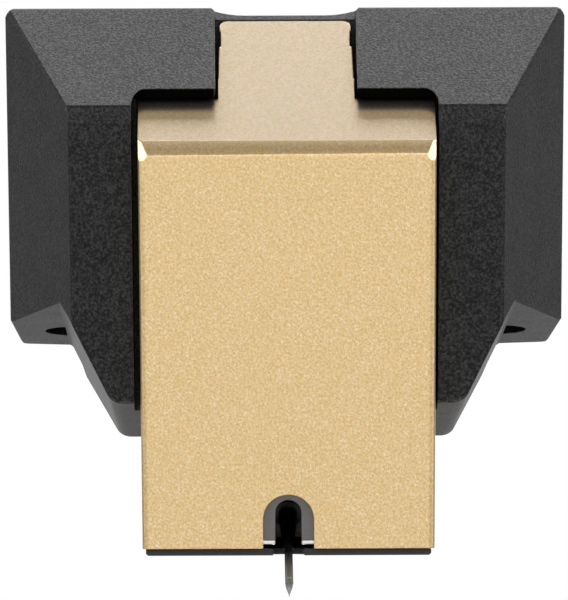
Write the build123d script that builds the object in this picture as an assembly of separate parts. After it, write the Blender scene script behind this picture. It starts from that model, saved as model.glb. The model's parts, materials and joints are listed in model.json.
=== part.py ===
"""Moving-coil phono cartridge: a black moulded housing with two screw ears, a gold-anodised
aluminium nose block, a soft under cover, and the generator that the nose block carries.

Millimetres. The origin is midway between the two mounting screws, in the plane of the mounting
pads. +Z points up to the headshell, the stylus end faces -Y, and the terminal pins point to +Y.
"""

import os
from math import atan2, cos, degrees, radians, sin, tan

from build123d import *

# Mounting: the standard half-inch screw spacing
screw_pitch = 12.7
thread_radius = 1.08
screw_hole_radius = 0.92
insert_radius = 1.55
insert_length = 2.6

# Housing, seen from above
ear_span = 16.87
ear_rear_span = 16.3
ear_draft = 0.8
front_span = 13.1
pad_front = 2.2
ear_front = 2.0
ear_back = 2.7
ear_step = 0.4
housing_front = 6.9
tail_front_span = 12.4
tail_span = 11.4
tail_back = 11.8
plan_round = 0.3

# Housing, seen from the side and from the front
brow_drop = 3.01
brow_bevel_height = 0.5
brow_bevel_depth = 0.22
ear_floor = 8.69
jaw_top_span = 13.65
jaw_floor = 11.86
jaw_span = 10.45
jaw_toe_in = 2.0
floor_fall = 8.5
keel_back = 0.3
tail_floor = 8.6
jaw_round = 0.5
housing_edge = 0.06
ear_corner = 0.2
channel_depth = 0.22
channel_rim = 0.08
channel_floor_span = 2.4
channel_span = 4.28
channel_draft = 0.02

# Window in the housing's brow, where the nose block shows
lip_floor = 2.5
lip_throat = 2.75
lip_corner = 0.46
window_gap = 0.13
window_shift = 0.05
window_depth = 1.5
nose_fit = 0.01

# Nose block
nose_span = 8.88
nose_foot_span = 8.66
nose_front = 7.9
nose_floor = 16.17
nose_shoulder = 4.07
nose_bevel_height = 0.44
nose_bevel_depth = 0.3
nose_top = 2.2
slope_rise = 2.92
nose_back = 2.0
nose_heel = 0.6
heel_top = 12.6
nose_edge = 0.22
tongue_span = 4.08
tongue_tip_span = 3.93
tongue_tip_drop = 0.39
tongue_thickness = 1.0
tongue_corner = 0.25
tongue_notch = 0.1
tongue_notch_top = 0.72
tongue_notch_length = 0.48
arch_span = 1.5
arch_height = 1.6
bay_span = 6.8
bay_height = 6.67
front_wall = 0.5
heel_wall = 0.9
lead_window_span = 4.4
lead_window_height = 2.4

# Under cover
cover_thickness = 0.2
cover_inset = 0.1
cover_corner = 0.2
cover_edge = 0.06
cover_rib_height = 0.2
cover_rib_width = 0.8
cover_fit = 0.05
slot_span = 0.9
slot_length = 1.7

# Generator: the stylus hangs on a line that falls forward from the pivot.
# Lifts and heights are measured up from the nose block's floor, and setbacks from its front.
pivot_setback = 2.9
pivot_lift = 1.02
cantilever_angle = 25.0
cantilever_length = 4.82
cantilever_radius = 0.12
cantilever_taper = 0.05
collar_length = 2.2
collar_tip_radius = 0.16
collar_root_radius = 0.28
collar_root = 0.15
socket_length = 1.7
stylus_inset = 0.17
stylus_radius = 0.055
stylus_reach = 1.39
stylus_head_radius = 0.1
stylus_head_length = 0.3
stylus_point_radius = 0.012
stylus_fit = 0.005

armature_radius = 0.42
armature_length = 0.4
arm_lean = 45.0
arm_width = 0.36
arm_thickness = 0.3
arm_reach = 1.15
coil_start = 0.56
coil_length = 0.48
coil_width = 0.74
coil_thickness = 0.66
coil_round = 0.12

damper_radius = 0.5
damper_length = 0.65
damper_bore = 0.1
wire_radius = 0.05
wire_bore = 0.06
wire_length = 4.6
sleeve_radius = 0.45
sleeve_start = 2.0
sleeve_length = 2.8
sleeve_fit = 0.02
pole_radius = 0.6

pole_plate_span = 3.4
pole_plate_thickness = 0.7
pole_plate_lift = 0.12
pole_plate_chamfer = 0.1
pole_arch_span = 0.75
pole_arch_height = 1.43
magnet_span = 3.0
magnet_length = 2.8
magnet_height = 2.5
magnet_lift = 2.47
yoke_span = 2.9
yoke_length = 3.3
yoke_lift = 0.47
yoke_flange_span = 5.8
yoke_flange_height = 1.7

yoke_screw_pitch = 4.4
yoke_screw_setback = 1.6
yoke_screw_radius = 0.5
yoke_screw_grip = 1.8
yoke_screw_head_radius = 0.7
yoke_screw_head_height = 0.55
yoke_screw_slot = 0.22
screw_fit = 0.02
set_screw_radius = 0.6
set_screw_setback = 1.7
set_screw_gap = 0.1
set_screw_slot = 0.2

# Terminals
terminal_span = 8.8
terminal_top = 1.4
terminal_floor = 7.6
terminal_thickness = 2.2
terminal_inset = 0.2
tail_wall = 1.0
tail_pocket_front = 2.2
pin_pitch_x = 4.4
pin_pitch_z = 3.2
pin_radius = 0.6
pin_shank_radius = 0.35
pin_reach = 5.0
pin_tail = 0.6
pin_nose = 0.3

# Leads from the coils' tie board to the pins
board_span = 4.2
board_height = 1.5
board_thickness = 0.4
lead_radius = 0.1
lead_sides = 6
lead_pitch = 1.0
lead_rise_start = 3.6
lead_rise_end = 1.3
lead_bend = 0.6

# Places that several pieces share
slope_run = housing_front - brow_bevel_depth - pad_front
slope_angle = degrees(atan2(slope_run, slope_rise))
shoulder_front = nose_front - nose_bevel_depth
far = 4 * ear_span
hole_places = [(-screw_pitch / 2, 0), (screw_pitch / 2, 0)]
bay_front = nose_front - front_wall
bay_roof = nose_floor - bay_height
arch_drop = nose_floor - arch_height
pivot_back = nose_front - pivot_setback
pivot_drop = nose_floor - pivot_lift
stylus_tip_drop = nose_floor + stylus_reach
pole_plate_drop = nose_floor - pole_plate_lift
pole_arch_drop = nose_floor - pole_arch_height
magnet_drop = nose_floor - magnet_lift
yoke_drop = nose_floor - yoke_lift
slot_back = nose_front - cover_inset - slot_length
pole_plate_back = bay_front - pole_plate_thickness
magnet_back = pole_plate_back - magnet_length
yoke_back = magnet_back - yoke_length
yoke_screw_back = magnet_back - yoke_screw_setback
set_screw_back = magnet_back - set_screw_setback
lead_drop = bay_roof + lead_window_height / 2
damper_start = armature_length - collar_root
damper_end = damper_start + damper_length
terminal_front = tail_back - terminal_inset - terminal_thickness
pin_inner_end = terminal_front - pin_tail
pin_root = tail_back - terminal_inset
pin_mid_drop = (terminal_top + terminal_floor) / 2
axis_plane = Plane(
    (0, -pivot_back, -pivot_drop),
    x_dir=(1, 0, 0),
    z_dir=(0, cos(radians(cantilever_angle)), sin(radians(cantilever_angle))),
)
side_plane = Plane((0, 0, 0), x_dir=(0, 1, 0), z_dir=(1, 0, 0))
floor_slope = tan(radians(floor_fall))
keel_floor = jaw_floor + floor_slope * (keel_back + housing_front)
tail_slope = (keel_floor - tail_floor) / (tail_back - keel_back)


def slope_drop(back, grow=0.0):
    """Drop of the nose block's sloping top at a distance behind the screws, grown outward."""
    lift = grow / sin(radians(slope_angle))
    return nose_shoulder - (back + shoulder_front) * slope_rise / slope_run - lift


def slope_back(drop, grow=0.0):
    """Where the nose block's sloping top, grown outward, is at a given drop."""
    lift = grow / sin(radians(slope_angle))
    return (nose_shoulder - lift - drop) * slope_run / slope_rise - shoulder_front


def axis_y(along):
    """Place along Y of a point on the cantilever's line, measured back from the pivot."""
    return -pivot_back + along * cos(radians(cantilever_angle))


def axis_z(along):
    """Height of a point on the cantilever's line, measured back from the pivot."""
    return -pivot_drop + along * sin(radians(cantilever_angle))


def side_prism(points, span):
    """A side outline, given as (y, z) points, made as wide as span about the middle."""
    outline = side_plane * make_face(Polyline(*points, close=True))
    return extrude(outline, span / 2, both=True)


def facing_front(y):
    """Drawing plane at a place along Y, seen from the front: x to the right and z up."""
    return Plane((0, y, 0), x_dir=(1, 0, 0), z_dir=(0, -1, 0))


def front_prism(face, back, front):
    """A front outline drawn as (x, z), pushed forward along Y from the back to the front."""
    return extrude(facing_front(back) * face, back - front)


def mirrored_outline(points):
    """A closed outline from its right half, listed from the middle to the middle."""
    left = [(-x, y) for x, y in reversed(points) if x != 0]
    return make_face(Polyline(*points, *left, close=True))


def block(span, front, back, low, high):
    """A box centred on the middle plane, given by its faces."""
    middle = Pos(0, (front + back) / 2, (low + high) / 2)
    return middle * Box(span, back - front, high - low)


def arch(span, drop, floor):
    """A round-headed doorway drawn as (x, z), from its crown down to a floor."""
    radius = span / 2
    head = Pos(0, -drop - radius) * Circle(radius)
    leg_height = floor - drop - radius
    leg = Pos(0, -drop - radius - leg_height / 2) * Rectangle(span, leg_height)
    return head + leg


def along_axis(radius, start, length):
    """A cylinder on the cantilever's line, from start back along it."""
    return axis_plane * Pos(0, 0, start + length / 2) * Cylinder(radius, length)


def nose_envelope(grow, gap_top):
    """The nose block without its edges, grown on its sides, front and slope."""
    front = -nose_front - grow
    back = slope_back(nose_top - gap_top, grow)
    side = side_prism(
        [
            (front, -nose_floor),
            (front, -slope_drop(front, grow)),
            (back, -nose_top + gap_top),
            (nose_back + grow, -nose_top + gap_top),
            (nose_back + grow, -heel_top),
            (nose_heel + grow, -nose_floor),
        ],
        far,
    )
    half = nose_span / 2 + grow
    foot = nose_foot_span / 2 + grow
    outline = mirrored_outline(
        [(0, 0), (half, 0), (half, -nose_shoulder), (foot, -nose_floor), (0, -nose_floor)]
    )
    return side & front_prism(outline, nose_back + 2 * grow, -nose_front - 2 * grow)


def tongue_side(grow):
    """The tongue's profile up the slope, as wide as anything it is cut from."""
    tip = slope_back(tongue_tip_drop)
    thickness = tongue_thickness / sin(radians(slope_angle))
    return side_prism(
        [
            (slope_back(lip_floor + thickness), -lip_floor - thickness),
            (tip + grow, -slope_drop(tip + grow, grow)),
            (tip + grow, -tongue_tip_drop - thickness - grow),
            (slope_back(lip_floor + thickness, -tongue_thickness) + grow, -lip_floor - thickness),
        ],
        far,
    )


def tongue_outline():
    """The tongue that runs up the slope between the ears, a little narrower at its tip."""
    root, end = tongue_span / 2, tongue_tip_span / 2
    outline = mirrored_outline(
        [(0, 0), (end, 0), (end, -tongue_tip_drop), (root, -lip_floor), (root, -far), (0, -far)]
    )
    return tongue_side(0) & front_prism(outline, nose_back, -2 * nose_front)


def jaw_flank(side):
    """Everything outside one flank of the jaw and below the ear floor, which falls to the rear."""
    reach = (far - ear_floor) * (jaw_top_span - jaw_span) / 2 / (jaw_floor - ear_floor)
    points = [
        (side * jaw_top_span / 2, -ear_floor),
        (side * far, -ear_floor),
        (side * far, -far),
        (side * (jaw_top_span / 2 - reach), -far),
    ]
    flank = facing_front(-2 * housing_front) * make_face(Polyline(*points, close=True))
    toe = side * tan(radians(jaw_toe_in))
    start = Pos(toe * housing_front, 0, floor_slope * housing_front)
    return start * extrude(flank, far, dir=(-toe, 1, -floor_slope))


def housing_outline():
    """The housing's outer form: a plan cut to a side view, less the spaces beside the jaw."""
    plan = mirrored_outline(
        [
            (0, -housing_front),
            (front_span / 2, -housing_front),
            (ear_span / 2, -ear_front),
            (ear_rear_span / 2, ear_back),
            (tail_front_span / 2, ear_back + ear_step),
            (tail_span / 2, tail_back),
            (0, tail_back),
        ]
    )
    tail_corners = [v for v in plan.vertices() if v.Y == tail_back and v.X != 0]
    plan = fillet(tail_corners, plan_round)
    form = extrude(plan, -nose_floor)
    flanks = [f for f in form.faces() if abs(f.center().X) > front_span / 2]
    form = draft(flanks, Plane.XY, -ear_draft)
    uprights = [e for e in form.edges() if abs(e.tangent_at(0).Z) > 0.9 and e.center().Y > 0]
    ear_corners = [e for e in uprights if abs(e.center().X) > ear_rear_span / 2 - plan_round]
    form = fillet(ear_corners, plan_round)
    side = side_prism(
        [
            (-housing_front, -brow_drop - brow_bevel_height),
            (-housing_front + brow_bevel_depth, -brow_drop),
            (-pad_front, 0),
            (tail_back, 0),
            (tail_back, -tail_floor),
            (keel_back, -keel_floor),
            (-housing_front, -jaw_floor),
        ],
        far,
    )
    body = form & side
    body -= jaw_flank(-1)
    body -= jaw_flank(1)
    chins = [e for e in body.edges() if e.center().Z < -jaw_floor and e.length > housing_front]
    chins = [e for e in chins if abs(e.tangent_at(0).Y) > 0.9]
    body = fillet(chins, jaw_round)
    ear_tops = [e for e in body.edges() if e.center().Z == 0 and abs(e.center().X) > tail_front_span / 2]
    ear_sides = [e for e in ear_tops if e.length > ear_front + ear_back - plan_round]
    body = chamfer(ear_sides, ear_corner)
    return chamfer(body.edges(), housing_edge)


def make_housing():
    """Black moulded housing: ears, sloping brow, jaw, and the tail that takes the terminals."""
    housing = housing_outline()

    # The window: a wide opening under the lip and a slot between the ears, cut down to the slope
    above_slope = side_prism(
        [
            (-far, -slope_drop(-far)),
            (far, -slope_drop(far)),
            (far, far),
            (-far, far),
        ],
        far,
    )
    lip_front = -housing_front + brow_bevel_depth + (brow_drop - lip_floor) * slope_run / brow_drop
    under_lip = side_prism(
        [
            (-far, -lip_floor),
            (lip_front, -lip_floor),
            (slope_back(lip_throat), -lip_throat),
            (far, -lip_throat),
            (far, -far),
            (-far, -far),
        ],
        far,
    )
    opening = Pos(0, -lip_floor - nose_floor / 2) * Rectangle(nose_span + 2 * window_gap, nose_floor)
    opening = fillet(opening.vertices().group_by(Axis.Y)[-1], lip_corner)
    beside = Pos(-window_shift, 0, 0)
    housing -= beside * front_prism(opening, tail_back, -2 * nose_front) & above_slope & under_lip
    slot = block(channel_span - 2 * channel_draft, -far, tail_back, -nose_floor, far)
    housing -= slot & above_slope
    housing -= nose_envelope(nose_fit, 0)
    relief = block(far, -2 * housing_front, window_depth - housing_front, -far, -lip_throat)
    housing -= beside * nose_envelope(window_gap, 0) & relief
    housing -= slot & tongue_side(window_gap / 2)

    # Shallow channel between the mounting pads
    half, floor_half = channel_span / 2, channel_floor_span / 2
    mouth_half = half + channel_rim + channel_depth
    third = (half - floor_half) / 2
    rim = ThreePointArc(
        (floor_half, -channel_depth),
        (floor_half + third, -channel_depth + (channel_depth - channel_rim) / 4),
        (half, -channel_rim),
    )
    trough = make_face(
        [
            Line((-floor_half, -channel_depth), (floor_half, -channel_depth)),
            rim,
            Line((half, -channel_rim), (mouth_half, channel_depth)),
            Line((mouth_half, channel_depth), (-mouth_half, channel_depth)),
            Line((-mouth_half, channel_depth), (-half, -channel_rim)),
            mirror(rim, Plane.YZ),
        ]
    )
    housing -= front_prism(trough, tail_back + pin_reach, -housing_front)

    # Screw holes down to the level of the ear floor, with a seat for the thread inserts
    above_ear_floor = side_prism(
        [
            (-housing_front, 0),
            (-housing_front, -ear_floor),
            (tail_back, -ear_floor - floor_slope * (tail_back + housing_front)),
            (tail_back, 0),
        ],
        far,
    )
    for x, y in hole_places:
        housing -= Pos(x, y, -far / 2) * Cylinder(screw_hole_radius, far) & above_ear_floor
        housing -= Pos(x, y, -insert_length / 2) * Cylinder(insert_radius, insert_length)

    # Hollow tail, and the opening that takes the terminal block
    rear_floor = tail_floor - tail_wall + tail_slope * (tail_back - terminal_front)
    front_floor = tail_floor - tail_wall + tail_slope * (tail_back - tail_pocket_front)
    housing -= side_prism(
        [
            (nose_back, -terminal_top),
            (terminal_front, -terminal_top),
            (terminal_front, -rear_floor),
            (tail_pocket_front, -front_floor),
            (nose_back, -front_floor),
        ],
        terminal_span,
    )
    housing -= block(terminal_span, terminal_front, tail_back, -terminal_floor, -terminal_top)
    return housing


def make_nose_block():
    """Gold aluminium block: sloping shoulders, a tongue between the ears, and the generator bay."""
    front = -nose_front
    body = nose_envelope(0, 0)
    bevel = side_prism(
        [
            (front, -nose_shoulder - nose_bevel_height),
            (-shoulder_front, -nose_shoulder),
            (-shoulder_front, 0),
            (-2 * nose_front, 0),
            (-2 * nose_front, -nose_shoulder - nose_bevel_height),
        ],
        far,
    )
    body -= bevel
    tall_front = body.faces().sort_by(Axis.Y)[0]
    uprights = [e for e in tall_front.edges() if abs(e.tangent_at(0).Z) > abs(e.tangent_at(0).X)]
    body = fillet(uprights, nose_edge)

    tongue = tongue_outline()
    tip_edges = [e for e in tongue.edges() if abs(e.tangent_at(0).Z) > 0.9]
    tongue = fillet(tip_edges, tongue_corner)
    for side in (-1, 1):
        middle = -tongue_notch_top - tongue_notch_length / 2
        notch = Box(2 * tongue_notch, far, tongue_notch_length)
        tongue -= Pos(side * tongue_span / 2, 0, middle) * notch
    body += tongue

    # Generator bay, open at the bottom, with the arch in front and the lead window behind
    bay_back = nose_heel - heel_wall
    body -= block(bay_span, -bay_front, bay_back, -nose_floor, -bay_roof)
    body -= front_prism(arch(arch_span, arch_drop, nose_floor), -bay_front, front)
    window_floor = -bay_roof - lead_window_height
    body -= block(lead_window_span, bay_back, nose_back, window_floor, -bay_roof)
    for x in (-yoke_screw_pitch / 2, yoke_screw_pitch / 2):
        hole = Cylinder(yoke_screw_radius + screw_fit, yoke_screw_grip + screw_fit)
        body -= Pos(x, -yoke_screw_back, -bay_roof + (yoke_screw_grip + screw_fit) / 2) * hole
    return body


def make_under_cover():
    """Soft black plate under the nose block, slotted in front for the cantilever."""
    half_span = nose_foot_span / 2 - cover_inset
    front = -nose_front + cover_inset
    back = nose_heel - cover_inset
    low = -nose_floor - cover_thickness
    plate = block(2 * half_span, front, back, low, -nose_floor)
    plate = fillet(plate.edges().filter_by(Axis.Z), cover_corner)
    rounded = [e for e in plate.edges() if abs(e.center().Z - low) < cover_fit]
    plate = chamfer(rounded, cover_edge)

    # A rib that locates the plate inside the bay, clear of the pole plate and the armature
    rib_span = bay_span - 2 * cover_fit
    rib_front = -pole_plate_back + cover_fit
    rib_back = nose_heel - heel_wall - cover_fit
    rib = block(rib_span, rib_front, rib_back, -nose_floor, -nose_floor + cover_rib_height)
    core = block(
        rib_span - 2 * cover_rib_width,
        rib_front - cover_rib_width,
        rib_back - cover_rib_width,
        -nose_floor,
        -nose_floor + cover_rib_height,
    )
    plate += rib - core
    slot_round = slot_span / 2
    plate -= block(slot_span, front - slot_round, -slot_back - slot_round, low, -bay_roof)
    plate -= Pos(0, -slot_back - slot_round, -nose_floor) * Cylinder(slot_round, far)
    return plate


def make_thread_insert(x):
    """Brass bush with the screw's thread bore, flush with the mounting pad."""
    bush = Cylinder(insert_radius, insert_length) - Cylinder(thread_radius, insert_length)
    return Pos(x, 0, -insert_length / 2) * bush


def make_front_pole():
    """Steel plate behind the nose arch, with the doorway that the cantilever comes through."""
    plate = block(
        pole_plate_span, -bay_front, -pole_plate_back, -pole_plate_drop, -magnet_drop + magnet_height
    )
    foot = plate.edges().group_by(Axis.Z)[0].sort_by(Axis.Y)[0]
    plate = chamfer(foot, pole_plate_chamfer)
    doorway = arch(pole_arch_span, pole_arch_drop, pole_plate_drop)
    return plate - front_prism(doorway, -pole_plate_back, -bay_front)


def make_magnet():
    """Block magnet between the front pole plate and the rear yoke."""
    top = -magnet_drop + magnet_height
    return block(magnet_span, -pole_plate_back, -magnet_back, -magnet_drop, top)


def make_rear_yoke():
    """Steel yoke with a flange under the bay roof, a pole nose and the bore for the wire sleeve."""
    yoke = block(yoke_span, -magnet_back, -yoke_back, -yoke_drop, -bay_roof)
    flange_low = -bay_roof - yoke_flange_height
    yoke += block(yoke_flange_span, -magnet_back, -yoke_back, flange_low, -bay_roof)
    yoke += along_axis(pole_radius, damper_end, sleeve_start - damper_end + pole_radius)
    yoke -= along_axis(damper_bore, damper_end - wire_radius, sleeve_start)
    yoke -= along_axis(sleeve_radius + sleeve_fit, sleeve_start, far)
    for x in (-yoke_screw_pitch / 2, yoke_screw_pitch / 2):
        yoke -= Pos(x, -yoke_screw_back, -bay_roof) * Cylinder(yoke_screw_radius + screw_fit, far)
    bore_top = axis_z((pivot_back - set_screw_back) / cos(radians(cantilever_angle)))
    bore = Cylinder(set_screw_radius + screw_fit, bore_top + yoke_drop)
    yoke -= Pos(0, -set_screw_back, (bore_top - yoke_drop) / 2) * bore
    return yoke


def make_yoke_screws():
    """The two slotted screws that hold the yoke up against the bay roof."""
    head_top = -bay_roof - yoke_flange_height
    shank_length = yoke_flange_height + yoke_screw_grip
    screws = []
    for x in (-yoke_screw_pitch / 2, yoke_screw_pitch / 2):
        head = Pos(0, 0, head_top - yoke_screw_head_height / 2) * Cylinder(
            yoke_screw_head_radius, yoke_screw_head_height
        )
        slot_low = head_top - yoke_screw_head_height
        head -= Pos(0, 0, slot_low) * Box(far, yoke_screw_slot, yoke_screw_head_height)
        shank = Pos(0, 0, head_top + shank_length / 2) * Cylinder(yoke_screw_radius, shank_length)
        screws.append(Pos(x, -yoke_screw_back, 0) * (head + shank))
    return Compound(children=screws)


def make_set_screw():
    """Grub screw that clamps the wire sleeve from below."""
    along = (pivot_back - set_screw_back) / cos(radians(cantilever_angle))
    top = axis_z(along) - sleeve_radius / cos(radians(cantilever_angle)) - set_screw_gap
    reach = set_screw_radius * tan(radians(cantilever_angle))
    length = top - reach + yoke_drop
    screw = Pos(0, -set_screw_back, -yoke_drop + length / 2) * Cylinder(set_screw_radius, length)
    tip = screw.edges().group_by(Axis.Z)[-1]
    screw = chamfer(tip, set_screw_gap)
    return screw - Pos(0, -set_screw_back, -yoke_drop) * Box(far, set_screw_slot, 2 * set_screw_slot)


def make_wire_sleeve():
    """Brass tube that grips the rear end of the suspension wire."""
    return along_axis(sleeve_radius, sleeve_start, sleeve_length) - along_axis(
        wire_bore, sleeve_start, sleeve_length
    )


def make_suspension_wire():
    """Fine steel wire from the armature, through the damper, to the sleeve."""
    return along_axis(wire_radius, 0, wire_length)


def make_damper():
    """Soft rubber ring between the armature and the yoke's pole nose."""
    return along_axis(damper_radius, damper_start, damper_length) - along_axis(
        damper_bore, damper_start, damper_length
    )


def coil_arm_frame(side):
    """Frame of one coil arm: its X runs out along the arm, which leans up and to one side."""
    lean = -90 + side * arm_lean
    return axis_plane * Rot(0, 0, lean)


def arm_middle():
    """Middle of the armature along the cantilever's line."""
    return (damper_start - collar_root) / 2


def make_armature():
    """Coil former: a hub on the cantilever's line with two arms set in a V."""
    former = along_axis(armature_radius, -collar_root, armature_length)
    for side in (-1, 1):
        arm = Pos(arm_reach / 2, 0, arm_middle()) * Box(arm_reach, arm_width, arm_thickness)
        former += coil_arm_frame(side) * arm
    return former - along_axis(wire_bore, 0, armature_length)


def make_coil(side):
    """One winding around its arm of the armature."""
    middle = Pos(coil_start + coil_length / 2, 0, arm_middle())
    winding = Box(coil_length, coil_width, coil_thickness)
    winding = fillet(winding.edges().filter_by(Axis.X), coil_round)
    winding -= Box(far, arm_width, arm_thickness)
    return coil_arm_frame(side) * middle * winding


def make_collar():
    """Tapered joint tube between the armature and the cantilever rod."""
    cone = Cone(collar_root_radius, collar_tip_radius, collar_length)
    middle = -collar_root - collar_length / 2
    collar = axis_plane * Pos(0, 0, middle) * Rot(180, 0, 0) * cone
    mouth = -collar_root - collar_length
    return collar - along_axis(cantilever_radius, mouth, socket_length)


def make_cantilever():
    """Thin solid rod, socketed in the collar, with a cross hole for the stylus at its front end."""
    mouth = -collar_root - collar_length
    length = cantilever_length + mouth + socket_length
    rod = along_axis(cantilever_radius, -cantilever_length, length)
    front_rim = rod.edges().sort_by(Axis.Y)[0]
    rod = chamfer(front_rim, cantilever_taper)
    seat = stylus_inset - cantilever_length
    hole = Cylinder(stylus_radius + stylus_fit, far)
    return rod - Pos(0, axis_y(seat), axis_z(seat)) * hole


def make_stylus():
    """Diamond: a round shank through the rod's front end, and a wider head ground to a point."""
    seat = stylus_inset - cantilever_length
    top = axis_z(seat) + cantilever_radius / cos(radians(cantilever_angle))
    head_top = -stylus_tip_drop + stylus_head_length
    place = Pos(0, axis_y(seat), 0)
    shank = place * Pos(0, 0, (top + head_top) / 2) * Cylinder(stylus_radius, top - head_top)
    head = place * Pos(0, 0, head_top - stylus_head_length / 2) * Cone(
        stylus_point_radius, stylus_head_radius, stylus_head_length
    )
    return shank + (head - along_axis(cantilever_radius, -far, far))


def pin_places():
    """Each pin's name and place, and the place of its lead on the tie board."""
    across = pin_pitch_x / 2
    signal = pin_pitch_z / 2 - pin_mid_drop
    ground = -pin_pitch_z / 2 - pin_mid_drop
    return [
        ("left_signal", -across, signal, -1.5 * lead_pitch),
        ("left_ground", -across, ground, -0.5 * lead_pitch),
        ("right_ground", across, ground, 0.5 * lead_pitch),
        ("right_signal", across, signal, 1.5 * lead_pitch),
    ]


def rod_along_y(radius, x, z, front, back):
    """A round bar parallel to Y."""
    middle = Pos(x, (front + back) / 2, z) * Rot(-90, 0, 0)
    return middle * Cylinder(radius, back - front)


def make_terminal_block():
    """Insulating plate in the tail's opening, pierced by the pins."""
    plate = block(terminal_span, terminal_front, pin_root, -terminal_floor, -terminal_top)
    for _, x, z, _ in pin_places():
        plate -= rod_along_y(pin_shank_radius, x, z, terminal_front, pin_root)
    return plate


def make_pin(x, z):
    """Plated terminal pin: a shank through the block and a thicker free end with a tapered nose."""
    pin = rod_along_y(pin_radius, x, z, pin_root, tail_back + pin_reach)
    nose = pin.edges().sort_by(Axis.Y)[-1]
    pin = chamfer(nose, pin_nose)
    return pin + rod_along_y(pin_shank_radius, x, z, pin_inner_end, pin_root)


def make_tie_board():
    """Small board behind the yoke where the coil ends are joined to the leads."""
    middle = -lead_drop
    return block(
        board_span,
        -yoke_back,
        -yoke_back + board_thickness,
        middle - board_height / 2,
        middle + board_height / 2,
    )


def make_lead(x, z, start_x):
    """Insulated lead from the tie board up to the inner end of a pin."""
    route = FilletPolyline(
        (start_x, -yoke_back + board_thickness, -lead_drop),
        (start_x, lead_rise_start, -lead_drop),
        (x, pin_inner_end - lead_rise_end, z),
        (x, pin_inner_end, z),
        radius=lead_bend,
    )
    start = Plane(route @ 0, z_dir=route % 0)
    return sweep(start * RegularPolygon(lead_radius, lead_sides), path=route)


def main():
    os.makedirs("parts", exist_ok=True)
    pieces = {
        "housing": make_housing(),
        "nose_block": make_nose_block(),
        "under_cover": make_under_cover(),
        "front_pole": make_front_pole(),
        "magnet": make_magnet(),
        "rear_yoke": make_rear_yoke(),
        "yoke_screws": make_yoke_screws(),
        "wire_sleeve": make_wire_sleeve(),
        "set_screw": make_set_screw(),
        "suspension_wire": make_suspension_wire(),
        "damper": make_damper(),
        "armature": make_armature(),
        "coil_left": make_coil(-1),
        "coil_right": make_coil(1),
        "cantilever_collar": make_collar(),
        "cantilever": make_cantilever(),
        "stylus": make_stylus(),
        "terminal_block": make_terminal_block(),
        "tie_board": make_tie_board(),
        "thread_insert_left": make_thread_insert(-screw_pitch / 2),
        "thread_insert_right": make_thread_insert(screw_pitch / 2),
    }
    for name, x, z, start_x in pin_places():
        pieces[f"pin_{name}"] = make_pin(x, z)
        pieces[f"lead_{name}"] = make_lead(x, z, start_x)
    for name, solid in pieces.items():
        export_step(solid, f"parts/{name}.step")


main()
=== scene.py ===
"""Looks of a moving-coil phono cartridge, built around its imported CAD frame.

The file is laid out as an add-on and run as a script. Pieces are modelled in millimetres, because
Blender's edit tools have limits that are large beside a stylus, and are then scaled to metres,
the frame's unit. The stylus end faces -Y, the terminal pins point to +Y, and Z is up.
"""

import json
import math

import bpy
from bpy.props import FloatProperty, FloatVectorProperty, IntProperty, PointerProperty
from bpy.types import Operator, Panel, PropertyGroup
from mathutils import Matrix, Quaternion, Vector


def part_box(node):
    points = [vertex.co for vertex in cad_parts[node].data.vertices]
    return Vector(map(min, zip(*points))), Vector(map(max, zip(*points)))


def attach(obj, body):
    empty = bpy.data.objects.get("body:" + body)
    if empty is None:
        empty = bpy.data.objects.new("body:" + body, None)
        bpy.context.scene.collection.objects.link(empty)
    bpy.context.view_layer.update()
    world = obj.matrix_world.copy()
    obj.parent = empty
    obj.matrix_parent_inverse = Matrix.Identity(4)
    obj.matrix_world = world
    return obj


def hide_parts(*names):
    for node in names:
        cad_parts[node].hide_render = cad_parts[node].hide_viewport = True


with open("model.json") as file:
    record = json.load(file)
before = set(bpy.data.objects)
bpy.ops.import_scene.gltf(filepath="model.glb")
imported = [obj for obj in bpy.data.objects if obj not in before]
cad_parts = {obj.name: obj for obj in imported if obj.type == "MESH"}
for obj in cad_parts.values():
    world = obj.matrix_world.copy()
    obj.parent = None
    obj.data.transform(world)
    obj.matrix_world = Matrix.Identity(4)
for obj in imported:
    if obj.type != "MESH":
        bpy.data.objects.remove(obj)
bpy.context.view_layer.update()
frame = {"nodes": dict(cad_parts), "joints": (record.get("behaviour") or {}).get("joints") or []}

bl_info = {
    "name": "Phono Cartridge",
    "version": (1, 0, 0),
    "blender": (4, 5, 0),
    "location": "3D View > Sidebar > Cartridge",
    "description": "Dresses the CAD frame of a moving-coil phono cartridge and sets its stage",
    "category": "Object",
}

PER_METRE = 1000.0
TO_MM = Matrix.Scale(PER_METRE, 4)
TO_METRES = Matrix.Scale(1 / PER_METRE, 4)

# Merge distance in millimetres, the angle below which faces are one flat, and how squarely a face
# must look along an axis to be an end
WELD = 0.0005
FLAT_ANGLE = math.radians(0.5)
END_FACING = 0.9

# The cantilever's line falls forward from the pivot, which the CAD joints share
PIVOT = Vector(frame["joints"][0]["pos_m"]) * PER_METRE
SWING = Vector(frame["joints"][0]["axis"])
LINE = Vector((0, SWING.z, -SWING.y))
CHANNELS = ("left_signal", "left_ground", "right_ground", "right_signal")

# Black strips of painted shade, in millimetres: two under the lip, where its shadow falls, and two in the
# shadowed gaps beside the tongue
LIP_SHADE_STRIP_SIZE = (2.42, 0.3, 0.3)
LIP_SHADE_STRIP_ROUND = 0.04
LIP_SHADE_STRIP_LEFT = (-3.38, -5.75, -2.63)
LIP_SHADE_STRIP_RIGHT = (3.33, -5.75, -2.63)
TONGUE_SHADE_STRIP_SIZE = (0.1, 1.2, 0.14)
TONGUE_SHADE_STRIP_ROUND = 0.02
TONGUE_SHADE_STRIP_LEFT = (-2.08, -5.13, -2.455)
TONGUE_SHADE_STRIP_RIGHT = (2.08, -5.13, -2.455)
SLOPE_ANGLE = math.radians(33.1)

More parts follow.
